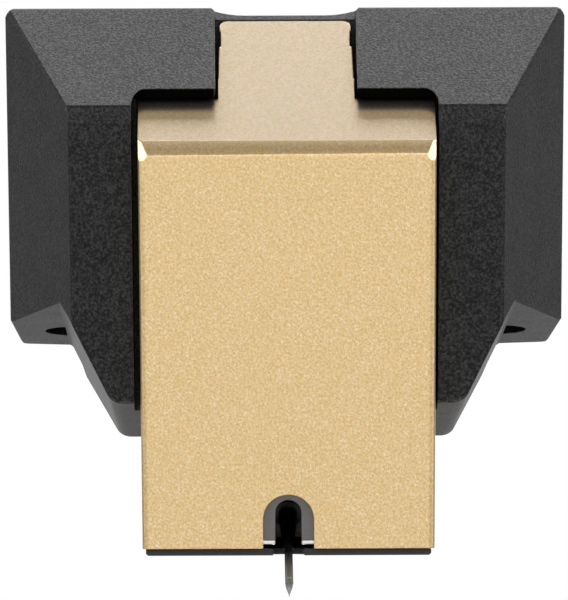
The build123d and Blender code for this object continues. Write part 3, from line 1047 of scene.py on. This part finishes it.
def wind_coil(name, section, corner, length, wire):
    """A coil along X: a rounded turn of wire, modelled once and stacked."""
    bpy.ops.object.select_all(action="DESELECT")
    bpy.ops.mesh.primitive_plane_add(size=1, location=(0, 0, 0))
    coil = bpy.context.active_object
    coil.name = name
    coil.data.name = name
    coil.data.transform(Matrix.Rotation(math.radians(90), 4, "Y") @ Matrix.Diagonal((*section, 1, 1)))
    bpy.ops.object.mode_set(mode="EDIT")
    bpy.ops.mesh.select_all(action="SELECT")
    bpy.ops.mesh.bevel(offset=corner, segments=4, affect="VERTICES")
    bpy.ops.mesh.select_all(action="SELECT")
    bpy.ops.mesh.extrude_region_move(TRANSFORM_OT_translate={"value": (wire, 0, 0)})
    bpy.ops.mesh.select_all(action="SELECT")
    bpy.ops.mesh.normals_make_consistent(inside=False)
    bpy.ops.object.mode_set(mode="OBJECT")
    for polygon in coil.data.polygons:
        polygon.select = abs(polygon.normal.x) > END_FACING
    bpy.ops.object.mode_set(mode="EDIT")
    bpy.ops.mesh.select_mode(type="FACE")
    bpy.ops.mesh.region_to_loop()
    bpy.ops.mesh.bevel(offset=wire * WIRE_ROUND, segments=2)
    bpy.ops.object.mode_set(mode="OBJECT")
    turns = int(length / wire)
    apply_modifier(
        coil,
        "ARRAY",
        count=turns,
        use_relative_offset=False,
        use_constant_offset=True,
        constant_offset_displace=(wire, 0, 0),
    )
    bpy.ops.object.shade_smooth_by_angle(angle=math.radians(60))
    return coil


class CARTRIDGE_OT_generator(Operator):
    """Generator: pole plate and its edges, magnet, yoke, damper, and the coils on their former"""

    bl_idname = "cartridge.generator"
    bl_label = "Generator"

    def execute(self, context):
        colours = context.scene.cartridge_colours
        sizes = sizes_mm()
        segments = context.scene.cartridge_sizes.segments

        plate = welded_copy("front_pole", "pole_plate")
        soften(plate, sizes["cover_round"], sharpest=30, smooth=40)
        steel = worked_metal("ground_pole_steel", linear("#7A7878"), lay=(1.5, 0.05, 0.05), roughness=0.42)
        hand_over(plate, "cartridge", "pole_steel", steel, "front_pole")
        bright = worked_metal("polished_pole_edge", linear("#FAF8F4"), lay=(0.6, 0.05, 0.05), roughness=0.3)
        left = rounded_bar("pole_edge_left", POLE_EDGE_SIZE, POLE_EDGE_ROUND)
        right = copied(left, "pole_edge_right")
        for edge, place in ((left, POLE_EDGE_LEFT), (right, POLE_EDGE_RIGHT)):
            edge.data.transform(Matrix.Translation(place))
            hand_over(edge, "cartridge", "pole_steel", bright)

        copper = worked_metal("enamelled_copper_wire", colours.copper, lay=(0.04, 0.3, 0.3), roughness=0.3)
        wire = sizes["coil_wire"]
        left = wind_coil("coil_left_winding", COIL_SECTION, COIL_CORNER, COIL_LENGTH, wire)
        right = copied(left, "coil_right_winding")
        for side, coil in (("left", left), ("right", right)):
            arm = line_frame() @ Matrix.Rotation(math.radians(COIL_LEANS[side]), 4, "Z")
            coil.data.transform(arm @ Matrix.Translation(COIL_ROOT))
            hand_over(coil, "stylus_assembly", "coil_copper", copper, "coil_" + side)

        ring = [
            (DAMPER_BORE, DAMPER_FRONT),
            *((DAMPER_RADIUS - inset, DAMPER_FRONT + depth) for inset, depth in DAMPER_FRONT_EDGE),
            *((DAMPER_RADIUS - inset, DAMPER_BACK - depth) for inset, depth in DAMPER_BACK_EDGE),
            (DAMPER_BORE, DAMPER_BACK),
        ]
        damper = turned("rubber_damper", ring, segments, smooth=50, hollow=True)
        damper.data.transform(line_frame())
        butyl = soft_rubber(colours, "butyl_damper_rubber", grain_size=0.08)
        hand_over(damper, "suspension", "damper_rubber", butyl, "damper")

        iron = worked_metal("annealed_iron", linear("#6E6A68"), lay=(0.1, 0.1, 0.1), roughness=0.45)
        nickel = worked_metal("nickel_plate", linear("#C9C4BA"), lay=(0.4, 0.4, 0.4), roughness=0.28)
        brass = worked_metal("turned_brass", colours.brass, lay=(0.06, 0.6, 0.6), roughness=0.3)
        drawn = worked_metal("drawn_spring_steel", linear("#B9BBC0"), lay=(0.02, 0.5, 0.5), roughness=0.25)
        paint_node("armature", iron)
        paint_node("magnet", nickel)
        paint_node("rear_yoke", steel)
        paint_node("wire_sleeve", brass)
        paint_node("suspension_wire", drawn)
        return {"FINISHED"}


class CARTRIDGE_OT_cantilever(Operator):
    """Cantilever: the black collar, the boron rod and its diamond"""

    bl_idname = "cartridge.cantilever"
    bl_label = "Cantilever"

    def execute(self, context):
        segments = context.scene.cartridge_sizes.segments
        line = line_frame()

        collar = turned(
            "tapered_collar", [*COLLAR_SOCKET, *COLLAR_TIP, *COLLAR_ROOT], segments, smooth=40
        )
        collar.data.transform(line)
        black = worked_metal("black_anodised_tube", linear("#2A2A2C"), lay=(0.05, 0.4, 0.4), roughness=0.32)
        hand_over(collar, "stylus_assembly", "collar_black", black, "cantilever_collar")

        rod = turned("boron_rod", ROD_PROFILE, segments, smooth=40)
        rod.data.transform(line)
        hand_over(rod, "stylus_assembly", "boron_rod", vapour_grown_boron(), "cantilever")

        low, high = box_mm("stylus")
        grind = [
            (DIAMOND_SHANK - DIAMOND_CHAMFER, high.z),
            (DIAMOND_SHANK, high.z - 2 * DIAMOND_CHAMFER),
            (DIAMOND_SHANK, low.z + DIAMOND_COLLAR),
            *((radius, low.z + height) for radius, height in DIAMOND_HEAD),
        ]
        tip = turned("diamond_tip", grind, segments // 2, smooth=25)
        tip.data.transform(Matrix.Translation((0, (low.y + high.y) / 2, 0)))
        hand_over(tip, "stylus_assembly", "diamond", ground_diamond(), "stylus")
        return {"FINISHED"}


class CARTRIDGE_OT_terminals(Operator):
    """Terminals: the insulating block, four turned pins, their channel rings and the leads"""

    bl_idname = "cartridge.terminals"
    bl_label = "Terminals"

    def execute(self, context):
        colours = context.scene.cartridge_colours
        sizes = sizes_mm()
        segments = context.scene.cartridge_sizes.segments

        block = welded_copy("terminal_block", "terminal_plate")
        soften(block, sizes["cover_round"], sharpest=60, smooth=50)
        resin = coloured_polymer("moulded_terminal_resin", linear("#1B1B1C"))
        hand_over(block, "cartridge", "terminal_resin", resin, "terminal_block")

        face = box_mm("terminal_block")[1].y
        low, high = box_mm("pin_" + CHANNELS[0])
        reach = high.y - face
        profile = [
            (PIN_STEM, low.y - face),
            (PIN_STEM, 0),
            (PIN_RADIUS - PIN_CHAMFER, 0),
            (PIN_RADIUS, PIN_CHAMFER),
            *((radius, reach - before) for radius, before in PIN_END),
        ]
        pin = turned(f"pin_{CHANNELS[0]}_turned", profile, segments, smooth=35)
        pins = [pin, *(copied(pin, f"pin_{channel}_turned") for channel in CHANNELS[1:])]

        tall = sizes["ring_height"]
        outer, soft = RING_BORE + sizes["ring_width"], tall / 4
        washer = [
            (RING_BORE, 0),
            (RING_BORE, tall - soft),
            (RING_BORE + soft, tall),
            (outer - soft, tall),
            (outer, tall - soft),
            (outer, 0),
        ]
        ring = turned("channel_ring_" + CHANNELS[0], washer, segments, smooth=50, hollow=True)
        rings = [ring, *(copied(ring, "channel_ring_" + channel) for channel in CHANNELS[1:])]

        plating = worked_metal("gold_plated_brass", linear("#EBC673"), lay=(0.5, 0.06, 0.5), roughness=0.2)
        outward = Matrix.Rotation(math.radians(-90), 4, "X")
        for channel, pin, ring in zip(CHANNELS, pins, rings):
            node = "pin_" + channel
            low, high = box_mm(node)
            middle = (low + high) / 2
            seat = Matrix.Translation((middle.x, face, middle.z)) @ outward
            pin.data.transform(seat)
            hand_over(pin, "cartridge", "pin_plate", plating, node)
            tint = getattr(colours, channel)
            ring.data.transform(seat)
            hand_over(ring, "cartridge", "terminal_resin", coloured_polymer("enamel_" + channel, tint))
            paint_node("lead_" + channel, coloured_polymer("lead_sleeve_" + channel, tint))
        paint_node("tie_board", coloured_polymer("glass_laminate", linear("#5A6B3C")))
        return {"FINISHED"}


class CARTRIDGE_OT_fasteners(Operator):
    """Fasteners: the threaded brass inserts, the yoke screws and the grub screw"""

    bl_idname = "cartridge.fasteners"
    bl_label = "Fasteners"

    def execute(self, context):
        colours = context.scene.cartridge_colours
        sizes = sizes_mm()
        segments = context.scene.cartridge_sizes.segments
        low, high = box_mm("thread_insert_left")
        wall, length = (high.x - low.x) / 2, high.z - low.z
        pitch, depth = sizes["thread_pitch"], sizes["thread_depth"]
        root = THREAD_BORE + depth
        rings = [(THREAD_BORE + depth / 2, 0)]
        for turn in range(int(length / pitch)):
            crest = -(turn + 0.5) * pitch
            groove = crest - pitch / 2
            rings += [(THREAD_BORE, crest + pitch / 8), (THREAD_BORE, crest - pitch / 8)]
            rings += [(root, groove + THREAD_FLAT), (root, groove - THREAD_FLAT)]
        rings += [(root, -length), (wall, -length), (wall, -BUSH_CHAMFER), (wall - BUSH_CHAMFER, 0)]
        brass = worked_metal("machined_brass", colours.brass, lay=(0.5, 0.5, 0.05), roughness=0.28)
        bush = turned("thread_bush_left", rings, segments, smooth=30, hollow=True)
        twin = copied(bush, "thread_bush_right")
        for piece, node in ((bush, "thread_insert_left"), (twin, "thread_insert_right")):
            low, high = box_mm(node)
            middle = (low + high) / 2
            piece.data.transform(Matrix.Translation((middle.x, middle.y, high.z)))
            hand_over(piece, "cartridge", "sleeve_brass", brass, node)
        steel = worked_metal("blackened_screw_steel", linear("#5C5B5D"), lay=(0.3, 0.3, 0.04), roughness=0.35)
        for node in ("yoke_screws", "set_screw"):
            paint_node(node, steel)
        return {"FINISHED"}


def around(azimuth, elevation, distance):
    """A place about the aim: the azimuth is in degrees from the front, to the right."""
    turn, rise = math.radians(azimuth), math.radians(elevation)
    level = math.cos(rise)
    return AIM + distance * Vector((level * math.sin(turn), -level * math.cos(turn), math.sin(rise)))


def add_softbox(name, bearing, size, radiance):
    """A soft rectangular light that the object mirrors and the camera doesn't see. A face's energy
    is four times its radiance times its area."""
    place = around(*bearing)
    light = bpy.data.lights.new(name, "AREA")
    light.shape = "RECTANGLE"
    light.size, light.size_y = size
    light.energy = 4 * radiance * light.size * light.size_y
    box = bpy.data.objects.new(name, light)
    box.location = place
    box.rotation_euler = (AIM - place).to_track_quat("-Z", "Y").to_euler()
    box.visible_camera = False
    bpy.context.scene.collection.objects.link(box)


class CARTRIDGE_OT_stage(Operator):
    """Stage: a pale floor well below the part, soft studio light, a white room and the camera"""

    bl_idname = "cartridge.stage"
    bl_label = "Stage"

    def execute(self, context):
        scene = context.scene
        scene.view_settings.view_transform = "Standard"

        bpy.ops.object.select_all(action="DESELECT")
        bpy.ops.mesh.primitive_circle_add(
            vertices=96, radius=FLOOR_RADIUS, fill_type="NGON", location=(0, 0, 0)
        )
        floor = context.active_object
        floor.name = "pale_floor"
        floor.data.transform(Matrix.Translation((0, 0, -FLOOR_DROP)))
        bpy.ops.object.mode_set(mode="EDIT")
        bpy.ops.mesh.select_all(action="SELECT")
        bpy.ops.mesh.extrude_region_move(TRANSFORM_OT_translate={"value": (0, 0, -FLOOR_THICKNESS)})
        bpy.ops.mesh.select_all(action="SELECT")
        bpy.ops.mesh.normals_make_consistent(inside=False)
        bpy.ops.object.mode_set(mode="OBJECT")
        apply_modifier(floor, "BEVEL", width=FLOOR_EDGE, segments=3, limit_method="ANGLE")
        floor.data.materials.append(backlit_acrylic())

        for name, (bearing, size, radiance) in SOFTBOXES.items():
            add_softbox(name, bearing, size, radiance)

        # The camera sees plain white, and the object mirrors a dim room that is lighter above
        world = bpy.data.worlds.new("studio")
        scene.world = world
        world.use_nodes = True
        tree = world.node_tree
        tree.nodes.clear()
        ray = add_node(tree, "ShaderNodeLightPath")
        heading = add_node(tree, "ShaderNodeTexCoord").outputs["Generated"]
        rise = add_node(tree, "ShaderNodeSeparateXYZ", {"Vector": heading})
        dusk = add_node(
            tree,
            "ShaderNodeMapRange",
            {
                "Value": rise.outputs["Z"],
                "From Min": -0.3,
                "From Max": 0.7,
                "To Min": 0.16,
                "To Max": 0.24,
            },
        )
        white = opaque(linear("#FFFFFF"))
        room = add_node(
            tree, "ShaderNodeBackground", {"Color": white, "Strength": dusk.outputs["Result"]}
        )
        paper = add_node(tree, "ShaderNodeBackground", {"Color": white, "Strength": 1.0})
        seen = add_node(
            tree,
            "ShaderNodeMixShader",
            {0: ray.outputs["Is Camera Ray"], 1: room.outputs[0], 2: paper.outputs[0]},
        )
        add_node(tree, "ShaderNodeOutputWorld", {"Surface": seen.outputs[0]})

        camera = bpy.data.objects.new("camera", bpy.data.cameras.new("camera"))
        camera.data.sensor_width = CAMERA_SENSOR
        camera.data.lens = CAMERA_LENS
        camera.data.clip_start = CAMERA_NEAR
        camera.location = around(*CAMERA_BEARING)
        level = (AIM - camera.location).to_track_quat("-Z", "Y")
        camera.rotation_euler = (level @ Quaternion((0, 0, 1), CAMERA_ROLL)).to_euler()
        scene.collection.objects.link(camera)
        scene.camera = camera
        return {"FINISHED"}


OPERATORS = (
    CARTRIDGE_OT_housing,
    CARTRIDGE_OT_nose_block,
    CARTRIDGE_OT_under_cover,
    CARTRIDGE_OT_generator,
    CARTRIDGE_OT_cantilever,
    CARTRIDGE_OT_terminals,
    CARTRIDGE_OT_fasteners,
    CARTRIDGE_OT_stage,
)


class CARTRIDGE_PT_sidebar(Panel):
    """Sidebar list of the pieces and the settings they use"""

    bl_idname = "CARTRIDGE_PT_sidebar"
    bl_label = "Phono Cartridge"
    bl_space_type = "VIEW_3D"
    bl_region_type = "UI"
    bl_category = "Cartridge"

    def draw(self, context):
        for group in (context.scene.cartridge_sizes, context.scene.cartridge_colours):
            column = self.layout.column(align=True)
            for name in group.__annotations__:
                column.prop(group, name)
        column = self.layout.column(align=True)
        for operator in OPERATORS:
            column.operator(operator.bl_idname)


CLASSES = (CartridgeSizes, CartridgeColours, *OPERATORS, CARTRIDGE_PT_sidebar)


def register():
    """Registers the classes and hangs the settings on the scene."""
    for cls in CLASSES:
        bpy.utils.register_class(cls)
    bpy.types.Scene.cartridge_sizes = PointerProperty(type=CartridgeSizes)
    bpy.types.Scene.cartridge_colours = PointerProperty(type=CartridgeColours)


def unregister():
    """Takes the settings and the classes away again."""
    del bpy.types.Scene.cartridge_colours
    del bpy.types.Scene.cartridge_sizes
    for cls in reversed(CLASSES):
        bpy.utils.unregister_class(cls)


def main():
    """Builds every piece and the stage in order."""
    register()
    bpy.ops.cartridge.housing()
    bpy.ops.cartridge.nose_block()
    bpy.ops.cartridge.under_cover()
    bpy.ops.cartridge.generator()
    bpy.ops.cartridge.cantilever()
    bpy.ops.cartridge.terminals()
    bpy.ops.cartridge.fasteners()
    bpy.ops.cartridge.stage()


if __name__ == "__main__":
    main()
